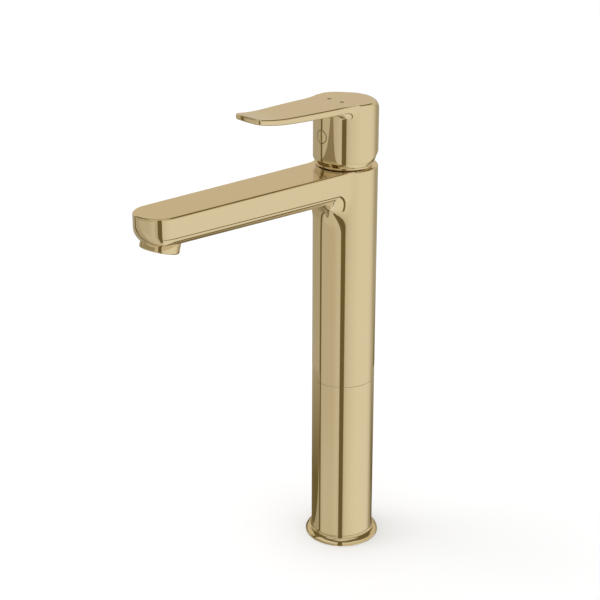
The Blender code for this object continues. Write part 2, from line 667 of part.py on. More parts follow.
def build_handle():
    pivot = Vector((0.0, 0.0, top(PIVOT_H)))
    bm = turned_mesh([
        (0.0, top(SKIRT_BOTTOM)), (SKIRT_RING_R, top(SKIRT_BOTTOM)), (SKIRT_RING_R, top(SKIRT_RING_TOP)),
        (SKIRT_R, top(SKIRT_CHAMFER_TOP)), (SKIRT_R, top(SKIRT_TOP)), (0.0, top(SKIRT_TOP))])
    handle = add_object("handle", bm, GOLD, pivot)
    join(handle, build_lever_plate(), build_lever_web())
    cut(handle, turned("skirt_bore", disc(SKIRT_BORE_R, top(-2.0 * MM), top(SKIRT_CEILING))))
    join(handle, box("stem_boss", (-BOSS_HALF, -BOSS_FRONT, top(BOSS_BOTTOM)),
                     (BOSS_HALF, BOSS_HALF, top(SKIRT_CEILING + MM))))
    socket = STEM_HALF + GAP
    plug_z = top(PLUG_H)
    cut(handle,
        box("stem_socket", (-socket, -socket, top(BOSS_BOTTOM - MM)), (socket, socket, top(STEM_TOP + GAP))),
        cylinder_between("screw_bore", (0.0, -BOSS_FRONT - MM, plug_z), (0.0, 0.0, plug_z), SCREW_R + GAP,
                         segments=20),
        cylinder_between("plug_bore", (0.0, -COLUMN_R - MM, plug_z), (0.0, -SKIRT_BORE_R + 2.0 * MM, plug_z),
                         PLUG_R + GAP),
        build_relief())
    return handle


def build_markers(handle):
    """Two inlaid dots on the handle's top, hot on the spout's right as the user sees it."""
    plate_z = top(LEVER_TOP)
    depth = 0.9 * MM
    for name, sign, look in (("hot_marker", -1.0, DARK_GOLD), ("cold_marker", 1.0, DARK_GOLD)):
        x = sign * MARKER_X
        s = x / lever_half_width(-MARKER_Y)
        surface = plate_z + LEVER_CROWN * (1.0 - s * s)
        cut(handle, cylinder_between(name + "_pocket", (x, MARKER_Y, surface - depth - GAP),
                                     (x, MARKER_Y, surface + 2.0 * MM), MARKER_R + GAP, segments=24))
        cylinder_between(name, (x, MARKER_Y, surface - depth), (x, MARKER_Y, surface), MARKER_R, look, segments=24)


def build_plug_and_screw():
    plug_z = top(PLUG_H)
    front = -math.sqrt(COLUMN_R ** 2 - PLUG_R ** 2)
    cylinder_between("indicator_plug", (0.0, -SKIRT_BORE_R - 0.2 * MM, plug_z), (0.0, front - 0.3 * MM, plug_z),
                     PLUG_R, GOLD)
    cylinder_between("handle_set_screw", (0.0, -STEM_HALF - GAP, plug_z), (0.0, -12.5 * MM, plug_z), SCREW_R,
                     STEEL, segments=20)


def main():
    clear_scene()
    build_base_flange()
    build_mounting_base()
    build_extension_column()
    build_column_joint()
    build_body_casting()
    build_aerator()
    build_cartridge_base()
    build_discs()
    build_disc_carrier()
    build_turret()
    build_lever_stem()
    build_cartridge_shell()
    build_markers(build_handle())
    build_plug_and_screw()


main()
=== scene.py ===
"""Looks of the tall basin mixer: polished champagne-gold castings in a light tent.

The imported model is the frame. Every visible casting is rebuilt here as one smooth skin at the
place and size of its CAD node. The inner pieces stay as CAD nodes with their own materials.
Lengths are in metres. "Azimuth" is the angle from the spout's direction (-Y) towards +X.
"""

import json
import math

import bmesh
import bpy
from mathutils import Matrix, Vector


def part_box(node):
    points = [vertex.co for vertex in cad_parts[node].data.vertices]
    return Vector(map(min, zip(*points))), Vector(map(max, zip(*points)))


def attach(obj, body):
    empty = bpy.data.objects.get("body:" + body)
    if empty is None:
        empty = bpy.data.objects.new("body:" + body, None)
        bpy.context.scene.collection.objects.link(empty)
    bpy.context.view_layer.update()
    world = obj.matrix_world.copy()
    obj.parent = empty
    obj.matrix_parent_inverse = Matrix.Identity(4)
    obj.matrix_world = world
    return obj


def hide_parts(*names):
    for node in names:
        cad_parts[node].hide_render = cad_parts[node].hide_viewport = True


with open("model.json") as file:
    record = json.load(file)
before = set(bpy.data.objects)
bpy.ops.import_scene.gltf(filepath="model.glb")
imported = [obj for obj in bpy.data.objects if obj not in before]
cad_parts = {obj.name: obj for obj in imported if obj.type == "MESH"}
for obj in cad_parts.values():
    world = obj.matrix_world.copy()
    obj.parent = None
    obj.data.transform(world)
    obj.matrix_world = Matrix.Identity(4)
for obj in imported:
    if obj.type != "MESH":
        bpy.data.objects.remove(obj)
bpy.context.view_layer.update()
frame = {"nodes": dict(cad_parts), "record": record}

MM = 0.001
TAU = 2.0 * math.pi

# ---------------------------------------------------------------- sizes read from the frame

BODY_LOW, BODY_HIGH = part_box("body_casting")
TUBE_LOW, TUBE_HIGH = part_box("extension_column")
_, FLANGE_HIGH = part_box("base_flange")
HANDLE_LOW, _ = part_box("handle")

COLUMN_R = BODY_HIGH.y              # outer radius of the column
TOP_Z = BODY_HIGH.z                 # flat top of the body
SEAM_Z = 0.5 * (BODY_LOW.z + TUBE_HIGH.z)
SPOUT_REACH = -BODY_LOW.y           # axis to the spout's front
LEVER_REACH = -HANDLE_LOW.y

# ---------------------------------------------------------------- shape, below or above the body's top

SPOUT_HALF_ROOT = 18.8 * MM         # half width at the column's axis
SPOUT_HALF_TIP = 16.9 * MM
SPOUT_SIDE = (13.9 * MM, 12.5 * MM)         # flat side height at root and tip
SPOUT_CORNER = (9.2 * MM, 8.4 * MM)         # lower corner radius at root and tip
TIP_PROFILE_R = 13.0 * MM           # the underside curls up to the front with this radius
TIP_CORNER = 2.4 * MM               # corner radius left at the very front
SPOUT_EDGE_R = 1.3 * MM             # rounding of the top edge
SPOUT_SIDE_FILLET = 25.0 * MM       # between spout side and column
SPOUT_CORNER_FILLET = 18.0 * MM     # between lower corner and column
SPOUT_UNDER_FILLET = 16.0 * MM      # between underside and column
SPOUT_FILLET_SQUASH = 1.7           # these blends stand this much taller than round
FILLET_EASE = 0.8                   # how far the blends keep to their tangents

LEVER_HALF = 19.2 * MM
LEVER_TAPER = 6.5 * MM
LEVER_CORNER_R = 6.0 * MM
LEVER_END_R = 46.0 * MM             # gentle bow of the lever's end
LEVER_TOP = 46.8 * MM
LEVER_ROOT_LOW = 30.0 * MM          # the curl starts to act at this height on the skirt,
LEVER_ROOT_SPAN = 10.0 * MM         # and acts fully this much higher
LEVER_CURL_START = 63.0 * MM
LEVER_CURL_RISE = 2.7 * MM
LEVER_THICK = (5.0 * MM, 3.7 * MM)          # at the root and at the end
LEVER_EDGE_R = 1.0 * MM
LEVER_LOWER_R = 0.9 * MM
LEVER_SIDE_FILLET = 60.0 * MM       # the lever's sides run almost straight into the skirt
LEVER_UNDER_FILLET = 9.0 * MM
LEVER_FILLET_SQUASH = 0.45          # the blend under the lever is this much lower than round
CAP_EDGE_R = 6.5 * MM               # rounding of the handle's rear rim
CAP_EDGE_FROM = math.radians(85.0)  # azimuths between which the edge opens up to that
CAP_EDGE_TO = math.radians(140.0)

SKIRT_RING_R = 21.3 * MM
SKIRT_BORE_R = 20.0 * MM
SKIRT_BOTTOM = 0.7 * MM
SKIRT_RING_TOP = 1.9 * MM
SKIRT_CHAMFER_TOP = 5.2 * MM
SKIRT_CEILING = 30.0 * MM
SKIRT_CLEARANCE = 0.3 * MM          # left under the rear edge when the lever is up
SKIRT_RELIEF_FADE = 16.0 * MM       # height over which the relief dies out
LIFT_ANGLE = math.radians(18.0)
PIVOT_DROP = 4.0 * MM
PLUG_H = 23.3 * MM
PLUG_R = 4.4 * MM
PLUG_PROUD = 0.12 * MM
PLUG_SHADE_RING_WIDTH = 0.43 * MM                # width of the dark ring round the plug, painted shade of the gap
MARKER_X = 6.4 * MM
MARKER_Y = -10.0 * MM
MARKER_R = 1.55 * MM
MARKER_PROUD = 0.04 * MM
MARKER_DEPTH = 0.8 * MM

OUTLET_CENTRE = Vector((0.0, -162.5 * MM, TOP_Z - 25.8 * MM))
OUTLET_TILT = math.radians(16.0)
AERATOR_R = 13.1 * MM
AERATOR_LIP_R = 9.8 * MM
AERATOR_HEIGHT = 13.5 * MM

SEAM_GAP = 0.05 * MM                # half of the open seam between body and tube
SEAM_EDGE_R = 0.12 * MM
TUBE_WALL = 2.6 * MM
FLANGE_CREASE = (24.7 * MM, 3.9 * MM)       # radius and height of the flange's crease
FLANGE_BULGE = 0.45 * MM

SUPPORT = 0.25 * MM                 # distance of the extra loops that keep flats flat
WELD = 1.0e-6
REAR_FIRST_STEP = 0.012             # radians between a blend's end and the first line behind it
BALL_SEARCH = 60.0 * MM             # how far out of the column a blend may start
RIGHT_ANGLE = 0.5 * math.pi


def lerp(a, b, t):
    return a + (b - a) * t


def smooth(t):
    t = min(max(t, 0.0), 1.0)
    return t * t * (3.0 - 2.0 * t)


def polar(radius, azimuth, z):
    """Point at a distance and azimuth from the column's axis."""
    return Vector((radius * math.sin(azimuth), -radius * math.cos(azimuth), z))


# ---------------------------------------------------------------- mesh helpers

def finish_mesh(name, verts, faces, body, material, replaces=()):
    """Weld a skin, make it an object and hand it to its body."""
    bm = bmesh.new()
    made = [bm.verts.new(co) for co in verts]
    for face in faces:
        corners = []
        for index in face:
            if made[index] not in corners:
                corners.append(made[index])
        if len(corners) > 2:
            try:
                bm.faces.new(corners)
            except ValueError:
                pass
    bmesh.ops.remove_doubles(bm, verts=bm.verts, dist=WELD)
    bmesh.ops.dissolve_degenerate(bm, edges=bm.edges, dist=WELD)
    bmesh.ops.recalc_face_normals(bm, faces=bm.faces)
    mesh = bpy.data.meshes.new(name)
    bm.to_mesh(mesh)
    bm.free()
    mesh.shade_smooth()
    mesh.materials.append(material)
    obj = bpy.data.objects.new(name, mesh)
    bpy.context.scene.collection.objects.link(obj)
    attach(obj, body)
    if replaces:
        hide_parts(*replaces)
    return obj


def grid_faces(rows, count, start=0):
    """Quads between neighbouring rows of `count` vertices each, numbered row by row."""
    faces = []
    for r in range(rows - 1):
        for c in range(count - 1):
            a = start + r * count + c
            faces.append((a, a + 1, a + count + 1, a + count))
    return faces


def rounded_profile(points, steps=5):
    """(radius, z, rounding) corners of a turned piece, with each rounding as an arc."""
    out = []
    count = len(points)
    for k, (r, z, rounding) in enumerate(points):
        here = Vector((r, z))
        if rounding <= 0.0:
            out.append(here)
            continue
        before = Vector(points[(k - 1) % count][:2]) - here
        after = Vector(points[(k + 1) % count][:2]) - here
        angle = before.angle(after)
        reach = rounding / math.tan(0.5 * angle)
        inward = (before.normalized() + after.normalized()).normalized()
        centre = here + inward * rounding / math.sin(0.5 * angle)
        start = here + before.normalized() * reach
        end = here + after.normalized() * reach
        support = min(SUPPORT, 0.3 * (before.length - reach), 0.3 * (after.length - reach))
        out.append(start + before.normalized() * support)
        a0 = math.atan2(start.y - centre.y, start.x - centre.x)
        turn = (math.atan2(end.y - centre.y, end.x - centre.x) - a0 + math.pi) % TAU - math.pi
        for s in range(steps + 1):
            a = a0 + turn * s / steps
            out.append(centre + rounding * Vector((math.cos(a), math.sin(a))))
        out.append(end + after.normalized() * support)
    return out


def turned_skin(name, corners, body, material, replaces=(), matrix=None, segments=128):
    """Closed turned piece from rounded corners, given as a ring or ending on the axis."""
    profile = rounded_profile(corners)
    closed = corners[0][0] > 0.0 and corners[-1][0] > 0.0
    if closed:
        profile.append(profile[0])
    verts, count = [], len(profile)
    for s in range(segments + 1):
        a = TAU * s / segments
        for p in profile:
            co = Vector((p.x * math.cos(a), p.x * math.sin(a), p.y))
            verts.append(matrix @ co if matrix else co)
    return finish_mesh(name, verts, grid_faces(segments + 1, count), body, material, replaces)


# ---------------------------------------------------------------- arm growing out of a column

class Arm:
    """Skin of a flat-topped arm that leaves a round column along -Y, with filleted joints.

    A station is a place on the plan outline: from the column's rear, round the column, over
    the side fillet, along the arm's side and round its end to the middle. A row runs from the
    top edge down the side, round the lower corner and across the underside to the middle.
    Each arm gives side_end, side_steps, side_last, middle_fillet, half_width(a),
    section(a) -> (side, inward, down), corner_fillet(share) and end_stations(), where a is the
    distance from the column's axis.
    """

    rear_steps = 40
    fillet_steps = 16
    edge_steps = 8
    corner_steps = 14
    chord_steps = 10
    under_steps = 8
    fillet_squash = 1.0
    side_first = 0.004

    def __init__(self, radius, edge_r, side_fillet):
        self.radius = radius
        self.edge_r = edge_r
        self.side_fillet = side_fillet

    def edge_at(self, azimuth):
        """Rounding of the top edge on the column's rear wall."""
        return self.edge_r

    def edge_rows(self, edge_r):
        rows = []
        for k in range(self.edge_steps + 1):
            angle = RIGHT_ANGLE * (1.0 - k / self.edge_steps)
            rows.append((edge_r * (1.0 - math.cos(angle)), edge_r * (1.0 - math.sin(angle))))
        rows.append((0.0, edge_r + SUPPORT))
        return rows

    def row_offsets(self, side, inward, down, floor=None):
        """Rows below the top edge: (inward, depth, normal angle below the horizontal).

        floor(inward), if given, is the underside's depth where the rows pass over it."""
        rows = [(offset, depth, 0.0) for offset, depth in self.edge_rows(self.edge_r)]
        rows.append((0.0, side - SUPPORT, 0.0))
        for k in range(self.corner_steps + 1):
            angle = RIGHT_ANGLE * k / self.corner_steps
            offset = inward * (1.0 - math.cos(angle))
            depth = floor(offset) if floor else side + down
            rows.append((offset, depth - down * (1.0 - math.sin(angle)), angle))
        return rows

    def side_shares(self):
        """Shares of the straight side, with extra lines close to its blend and its end."""
        inner = [k / self.side_steps for k in range(1, self.side_steps)]
        return [self.side_first] + inner + [self.side_last]

    def under_shares(self):
        """Shares of the underside's half width, from the corner to the middle."""
        return [1.0 - k / self.under_steps for k in range(1, self.under_steps + 1)]

    def ball(self, width, drop, angle, fillet):
        """Distance along the arm and centre of a ball that touches arm and column.

        width(a) and drop(a) give the surface line's x and z; angle tips its normal down."""
        low, high = 0.0, self.radius + BALL_SEARCH
        for _ in range(50):
            a = 0.5 * (low + high)
            x = width(a) + fillet * math.cos(angle)
            if math.hypot(x, a) < self.radius + fillet:
                low = a
            else:
                high = a
        z = drop(a) - fillet * math.sin(angle)
        return a, Vector((x, -a, z))

    def fillet_arc(self, centre, angle, fillet):
        """Points from the column to the arm over the rolling ball."""
        to_column = -Vector((centre.x, centre.y, 0.0)).normalized()
        to_arm = Vector((-math.cos(angle), 0.0, math.sin(angle)))
        whole = to_column.angle(to_arm)
        start, end = centre + fillet * to_column, centre + fillet * to_arm
        leave = (to_arm - to_column * math.cos(whole)) / math.sin(whole)
        arrive = (to_arm * math.cos(whole) - to_column) / math.sin(whole)
        reach = FILLET_EASE * fillet * math.tan(0.5 * whole)
        controls = [start, start + 0.5 * reach * leave, start + reach * leave,
                    end - reach * arrive, end - 0.5 * reach * arrive, end]
        points = []
        for k in range(self.fillet_steps + 1):
            t = k / self.fillet_steps
            point = sum((math.comb(5, i) * t ** i * (1.0 - t) ** (5 - i) * control
                         for i, control in enumerate(controls)), Vector())
            point.z = end.z + (point.z - end.z) * self.fillet_squash
            points.append(point)
        return points

    def build(self):
        """Columns of points, one per station, each from the top edge to the underside's middle."""
        root = self.section(0.0)
        shape = self.row_offsets(*root)
        side_rows = len(shape) - self.corner_steps - 1
        self.side_rows = side_rows
        columns = [[] for _ in range(self.fillet_steps + 1)]
        starts = []
        for index, (inward, depth, angle) in enumerate(shape):
            share = angle / RIGHT_ANGLE
            if index <= side_rows:
                fillet = self.side_fillet + inward

                def width(a, inward=inward):
                    return self.half_width(a) - inward

                a, centre = self.ball(width, lambda _, depth=depth: -depth, angle, fillet)
            else:
                fillet = self.corner_fillet(share)

                def width(a, angle=angle):
                    return self.half_width(a) - self.section(a)[1] * (1.0 - math.cos(angle))

                def drop(a, angle=angle):
                    side, _, down = self.section(a)
                    return -side - down * math.sin(angle)

                a, centre = self.ball(width, drop, angle, fillet)
            starts.append(a)
            for column, point in zip(columns, self.fillet_arc(centre, angle, fillet)):
                column.append(point)
        for share in self.under_shares():
            def width(a, share=share):
                return share * (self.half_width(a) - self.section(a)[1])

            def drop(a):
                side, _, down = self.section(a)
                return -side - down

            a, centre = self.ball(width, drop, RIGHT_ANGLE, self.middle_fillet)
            starts.append(a)
            for column, point in zip(columns, self.fillet_arc(centre, RIGHT_ANGLE, self.middle_fillet)):
                column.append(point)
        # along the side
        for t in self.side_shares():
            column = []
            for index in range(len(starts)):
                a = lerp(starts[index], self.side_end, t)
                section = self.section(a)
                offsets = self.row_offsets(*section)
                if index < len(offsets):
                    inward, depth, _ = offsets[index]
                    column.append(Vector((self.half_width(a) - inward, -a, -depth)))
                else:
                    share = self.under_shares()[index - len(offsets)]
                    half = share * (self.half_width(a) - section[1])
                    column.append(Vector((half, -a, -section[0] - section[2])))
            columns.append(column)
        # round the end
        for point, normal, section in self.end_stations():
            column = []
            offsets = self.row_offsets(*section)
            for inward, depth, _ in offsets:
                x, a = point[0] - inward * normal[0], point[1] - inward * normal[1]
                column.append(Vector((x, -a, -depth)))
            corner = column[-1]
            for share in self.under_shares():
                column.append(Vector((share * corner.x, corner.y, corner.z)))
            columns.append(column)
        return columns


def build_arm_skin(name, arm, base_z, lower_rows, body, material, replaces, lift=None):
    """One closed skin: top, arm, fillets, and the column down through lower_rows.

    lower_rows are (radius, z) rings of the column below the arm, ending at the middle or at an
    inner bore. lift(point) may move a finished point, for curls and reliefs."""
    columns = arm.build()
    side_rows = arm.side_rows
    verts, faces = [], []

    def add(lines):
        faces.extend(grid_faces(len(lines), len(lines[0]), len(verts)))
        for line in lines:
            verts.extend(line)

    add(columns)
    # rear wall down to the side's depth
    end_azimuth = math.atan2(columns[0][side_rows].x, -columns[0][side_rows].y)
    first = end_azimuth + REAR_FIRST_STEP
    rear = [end_azimuth]
    for k in range(arm.rear_steps + 1):
        rear.append(lerp(first, math.pi, k / arm.rear_steps))
    floor_z = columns[0][side_rows].z
    rear_lines, rear_low = [], []
    for azimuth in rear:
        edge = arm.edge_at(azimuth)
        shape = arm.edge_rows(edge)
        low = min(floor_z, -edge - 3.0 * SUPPORT)
        rear_low.append(low)
        shape += [(0.0, -low - SUPPORT), (0.0, -low)]
        rear_lines.append([polar(arm.radius - inward, azimuth, -depth) for inward, depth in shape])
    add(rear_lines)
    # top, as chords from the middle to the outline, with an extra line just inside it
    outline = [line[0] for line in reversed(rear_lines)][:-1] + [column[0] for column in columns]
    chords = arm.chord_steps
    shares = [k / chords for k in range(chords)] + [None, 1.0]
    top = []
    for point in outline:
        inner = max(0.0, 1.0 - SUPPORT / max(point.x, 1.0e-5))
        row = []
        for share in shares:
            share = max(inner, (chords - 1) / chords) if share is None else min(share, 1.0)
            row.append(Vector((point.x * share, point.y, point.z)))
        top.append(row)
    add(top)
    # column below: lines under the fillet's end curve and under the rear wall
    upper = columns[0][:side_rows:-1]
    upper += [polar(arm.radius, azimuth, low) for azimuth, low in zip(rear, rear_low)]
    wall = []
    for point in upper:
        azimuth = math.atan2(point.x, -point.y)
        line = [point, point - Vector((0.0, 0.0, 2.0 * SUPPORT))]
        for radius, z in lower_rows:
            line.append(polar(radius, azimuth, z))
        wall.append(line)
    add(wall)
    # other half, and place
    count = len(verts)
    if lift:
        verts = [lift(v) for v in verts]
    verts = verts + [Vector((-v.x, v.y, v.z)) for v in verts]
    faces += [tuple(i + count for i in face) for face in faces]
    shift = Vector((0.0, 0.0, base_z))
    return finish_mesh(name, [v + shift for v in verts], faces, body, material, replaces)


class Spout(Arm):
    middle_fillet = SPOUT_UNDER_FILLET
    fillet_squash = SPOUT_FILLET_SQUASH
    side_steps = 24
    side_last = 0.998
    tip_steps = 26
    side_end = SPOUT_REACH - SPOUT_HALF_TIP

    def half_width(self, a):
        return lerp(SPOUT_HALF_ROOT, SPOUT_HALF_TIP, a / self.side_end)

    def section(self, a):
        t = min(max(a / self.side_end, 0.0), 1.0)
        corner = lerp(*SPOUT_CORNER, t)
        return lerp(*SPOUT_SIDE, t), corner, corner

    def corner_fillet(self, share):
        rise = smooth(share / 0.5)
        fall = smooth((share - 0.5) / 0.5)
        return lerp(lerp(self.side_fillet, SPOUT_CORNER_FILLET, rise), SPOUT_UNDER_FILLET, fall)

    def depth(self, a):
        """Depth of the underside beyond the straight part: it curls up towards the front."""
        whole = SPOUT_SIDE[1] + SPOUT_CORNER[1]
        past = min(max(a - (SPOUT_REACH - TIP_PROFILE_R), 0.0), TIP_PROFILE_R)
        return whole - TIP_PROFILE_R + math.sqrt(TIP_PROFILE_R ** 2 - past ** 2)

    def end_stations(self):
        out = []
        for k in range(self.tip_steps + 1):
            angle = RIGHT_ANGLE * k / self.tip_steps
            normal = (math.cos(angle), math.sin(angle))
            point = (SPOUT_HALF_TIP * normal[0], self.side_end + SPOUT_HALF_TIP * normal[1])
            corner = lerp(TIP_CORNER, SPOUT_CORNER[1], math.cos(angle))

            def floor(inward, point=point, normal=normal):
                return self.depth(point[1] - inward * normal[1])

            out.append((point, normal, (self.depth(point[1]) - corner, corner, corner, floor)))
        return out


class Lever(Arm):
    corner_steps = 6
    side_steps = 20
    side_last = 0.997
    corner_arc_steps = 10
    end_steps = 6
    middle_fillet = LEVER_UNDER_FILLET
    fillet_squash = LEVER_FILLET_SQUASH

    def __init__(self, *args):
        super().__init__(*args)
        self.place_corner()
        self.side_start, _ = self.ball(self.half_width, lambda _: 0.0, 0.0, self.side_fillet)
        self.under_start, _ = self.ball(
            lambda a: self.half_width(a) - LEVER_LOWER_R, lambda _: 0.0, RIGHT_ANGLE, LEVER_UNDER_FILLET)

    def half_width(self, a):
        return LEVER_HALF - LEVER_TAPER * (a / LEVER_REACH) ** 2

    def side_normal(self, a):
        slope = 2.0 * LEVER_TAPER * a / LEVER_REACH ** 2
        length = math.hypot(1.0, slope)
        return 1.0 / length, slope / length

    def place_corner(self):
        """Find where the side runs into the corner arc, tangent to side and end bow."""
        self.end_centre = LEVER_REACH - LEVER_END_R
        low, high = 0.5 * LEVER_REACH, LEVER_REACH
        for _ in range(60):
            a = 0.5 * (low + high)
            nx, na = self.side_normal(a)
            cx = self.half_width(a) - LEVER_CORNER_R * nx
            ca = a - LEVER_CORNER_R * na
            if math.hypot(cx, ca - self.end_centre) < LEVER_END_R - LEVER_CORNER_R:
                low = a
            else:
                high = a
        self.side_end = a
        self.corner_centre = (cx, ca)

    def section(self, a):
        t = min(max(a / LEVER_REACH, 0.0), 1.0)
        thick = lerp(*LEVER_THICK, t ** 2)
        return thick - LEVER_LOWER_R, LEVER_LOWER_R, LEVER_LOWER_R

    def edge_at(self, azimuth):
        opening = smooth((azimuth - CAP_EDGE_FROM) / (CAP_EDGE_TO - CAP_EDGE_FROM))
        return lerp(self.edge_r, CAP_EDGE_R, opening)

    def corner_fillet(self, share):
        """Ball radius that lets the blend leave the lever between the side's and the underside's."""
        angle = RIGHT_ANGLE * share
        a = lerp(self.side_start, self.under_start, share)
        width = self.half_width(a) - LEVER_LOWER_R * (1.0 - math.cos(angle))
        fall, slack = math.sin(angle) ** 2, self.radius - width * math.cos(angle)
        room = a ** 2 + width ** 2 - self.radius ** 2
        if fall < 1.0e-6:
            return 0.5 * room / slack
        return (math.sqrt(slack ** 2 + fall * room) - slack) / fall

    def end_stations(self):
        out = []
        cx, ca = self.corner_centre
        start = math.atan2(*reversed(self.side_normal(self.side_end)))
        stop = math.atan2(ca - self.end_centre, cx)
        for k in range(self.corner_arc_steps + 1):
            angle = lerp(start, stop, k / self.corner_arc_steps)
            normal = (math.cos(angle), math.sin(angle))
            point = (cx + LEVER_CORNER_R * normal[0], ca + LEVER_CORNER_R * normal[1])
            out.append((point, normal, self.section(point[1])))
        for k in range(1, self.end_steps + 1):
            angle = lerp(stop, RIGHT_ANGLE, k / self.end_steps)
            normal = (math.cos(angle), math.sin(angle))
            point = (LEVER_END_R * normal[0], self.end_centre + LEVER_END_R * normal[1])
            out.append((point, normal, self.section(point[1])))
        return out


def lever_lift(v):
    """Curl of the lever's end, and the relief of the skirt's rear edge."""
    a = -v.y
    h = v.z + LEVER_TOP
    share = smooth((h - LEVER_ROOT_LOW) / LEVER_ROOT_SPAN)
    if share > 0.0:
        curl = LEVER_CURL_RISE * (max(a - LEVER_CURL_START, 0.0) / (LEVER_REACH - LEVER_CURL_START)) ** 2
        h += share * curl
    pivot = -PIVOT_DROP
    clear = (SKIRT_BOTTOM - SKIRT_CLEARANCE + PIVOT_DROP) / math.cos(LIFT_ANGLE)
    lowest = pivot + clear + v.y * math.tan(LIFT_ANGLE)
    extra = max(lowest - SKIRT_BOTTOM, 0.0)
    if extra > 0.0:
        h += extra * (1.0 - smooth((h - SKIRT_CHAMFER_TOP) / SKIRT_RELIEF_FADE))
    return Vector((v.x, v.y, h))


# ---------------------------------------------------------------- materials

def new_material(name):
    material = bpy.data.materials.new(name)
    material.use_nodes = True
    tree = material.node_tree
    shader = tree.nodes["Principled BSDF"]
    return material, tree, shader


def add_node(tree, kind, inputs=None, **settings):
    node = tree.nodes.new(kind)
    for key, value in settings.items():
        setattr(node, key, value)
    for key, value in (inputs or {}).items():
        node.inputs[key].default_value = value
    return node


def noise(tree, scale, detail, stretch=None):
    """Noise in object space, its scale given as features per metre."""
    coords = add_node(tree, "ShaderNodeTexCoord")
    source = coords.outputs["Object"]
    if stretch:
        mapping = add_node(tree, "ShaderNodeMapping", {"Scale": stretch})
        tree.links.new(source, mapping.inputs["Vector"])
        source = mapping.outputs["Vector"]
    texture = add_node(tree, "ShaderNodeTexNoise", {"Scale": scale, "Detail": detail})
    tree.links.new(source, texture.inputs["Vector"])
    return texture.outputs["Fac"]


def ranged(tree, value, low, high, start=0.3, stop=0.7):
    """value between start and stop, mapped to low up to high."""
    node = add_node(tree, "ShaderNodeMapRange",
                    {"From Min": start, "From Max": stop, "To Min": low, "To Max": high})
    tree.links.new(value, node.inputs["Value"])
    return node.outputs["Result"]


def feed(tree, socket, item):
    """Link an output to a socket, or set the socket to a number or a colour."""
    if isinstance(item, bpy.types.NodeSocket):
        tree.links.new(item, socket)
    elif isinstance(item, tuple):
        socket.default_value = (*item, 1.0)
    else:
        socket.default_value = item


def blend(tree, kind, factor, base, value):
    """base where factor is 0, value where it is 1; each is a plain value or an output."""
    node = add_node(tree, "ShaderNodeMix", data_type=kind)
    for socket, item in (("Factor", factor), ("A", base), ("B", value)):
        feed(tree, node.inputs[socket], item)
    return node.outputs["Result"]


def mixed(tree, factor, base, value):
    return blend(tree, "RGBA", factor, base, value)


def bump(tree, height, shader, strength, distance):
    node = add_node(tree, "ShaderNodeBump", {"Strength": strength, "Distance": distance})
    tree.links.new(height, node.inputs["Height"])
    tree.links.new(node.outputs["Normal"], shader.inputs["Normal"])


GOLD = (0.800, 0.656, 0.397)
GOLD_DEEP = (0.790, 0.643, 0.382)
GOLD_ROUGHNESS = (0.045, 0.075)
TOOL_MARKS = 1400.0                 # features per metre
TOOL_MARK_STRETCH = (0.05, 0.05, 1.0)       # long round the axis, fine along it
PLASTIC_GRAIN = 900.0


def gold_material():
    """Vapour-coated polish: faint tone drift, a haze that varies, and a trace of orange peel."""
    material, tree, shader = new_material("polished_gold")
    shader.inputs["Metallic"].default_value = 1.0
    tone = ranged(tree, noise(tree, 9.0, 2.0), 0.0, 1.0)
    tree.links.new(mixed(tree, tone, GOLD, GOLD_DEEP), shader.inputs["Base Color"])
    haze = ranged(tree, noise(tree, 38.0, 5.0), *GOLD_ROUGHNESS)
    tree.links.new(haze, shader.inputs["Roughness"])
    bump(tree, noise(tree, 210.0, 2.0), shader, 0.10, 0.02 * MM)
    return material


def machined_material(name, base, deep, roughness):
    """Turned metal with fine tool marks round the axis."""
    material, tree, shader = new_material(name)
    shader.inputs["Metallic"].default_value = 1.0
    marks = noise(tree, TOOL_MARKS, 2.0, TOOL_MARK_STRETCH)
    tree.links.new(mixed(tree, ranged(tree, marks, 0.0, 1.0), base, deep), shader.inputs["Base Color"])
    tree.links.new(ranged(tree, marks, roughness - 0.06, roughness + 0.08), shader.inputs["Roughness"])
    bump(tree, marks, shader, 0.25, 0.05 * MM)
    return material


def moulded_material(name, base, deep, roughness):
    """Moulded plastic, rubber or ceramic with a fine grain and slight mottling."""
    material, tree, shader = new_material(name)
    tree.links.new(mixed(tree, ranged(tree, noise(tree, 120.0, 4.0), 0.0, 1.0), base, deep),
                   shader.inputs["Base Color"])
    fine = noise(tree, PLASTIC_GRAIN, 3.0)
    tree.links.new(ranged(tree, fine, roughness - 0.05, roughness + 0.07), shader.inputs["Roughness"])
    bump(tree, fine, shader, 0.2, 0.04 * MM)
    return material


def slot_materials():
    return {
        "gold": gold_material(),
        # dark metal of the hot and cold markers, also used for the ring that paints the shade of the gap
        # round the indicator plug
        "dark_gold": machined_material("marker_metal_and_painted_gap_shade", (0.20, 0.14, 0.07), (0.14, 0.10, 0.05), 0.30),
        "brass": machined_material("machined_brass", (0.72, 0.53, 0.25), (0.60, 0.42, 0.18), 0.30),
        "steel": machined_material("turned_steel", (0.60, 0.60, 0.62), (0.48, 0.48, 0.50), 0.26),
        "rubber": moulded_material("seal_rubber", (0.022, 0.022, 0.022), (0.038, 0.036, 0.034), 0.72),
        "grey_plastic": moulded_material("grey_acetal", (0.52, 0.53, 0.55), (0.46, 0.47, 0.49), 0.42),
        "black_plastic": moulded_material("black_acetal", (0.035, 0.035, 0.036), (0.055, 0.054, 0.052), 0.40),
        "red_plastic": moulded_material("red_acetal", (0.50, 0.045, 0.035), (0.42, 0.035, 0.03), 0.40),
        "ceramic": moulded_material("lapped_ceramic", (0.86, 0.85, 0.81), (0.80, 0.79, 0.74), 0.18),
    }


def dress_cad_nodes(materials):
    slots = {part["node"]: part["material_slot"] for part in frame["record"]["subparts"]}
    for node, obj in frame["nodes"].items():
        obj.data.materials.clear()
        obj.data.materials.append(materials[slots[node]])


# ---------------------------------------------------------------- pieces

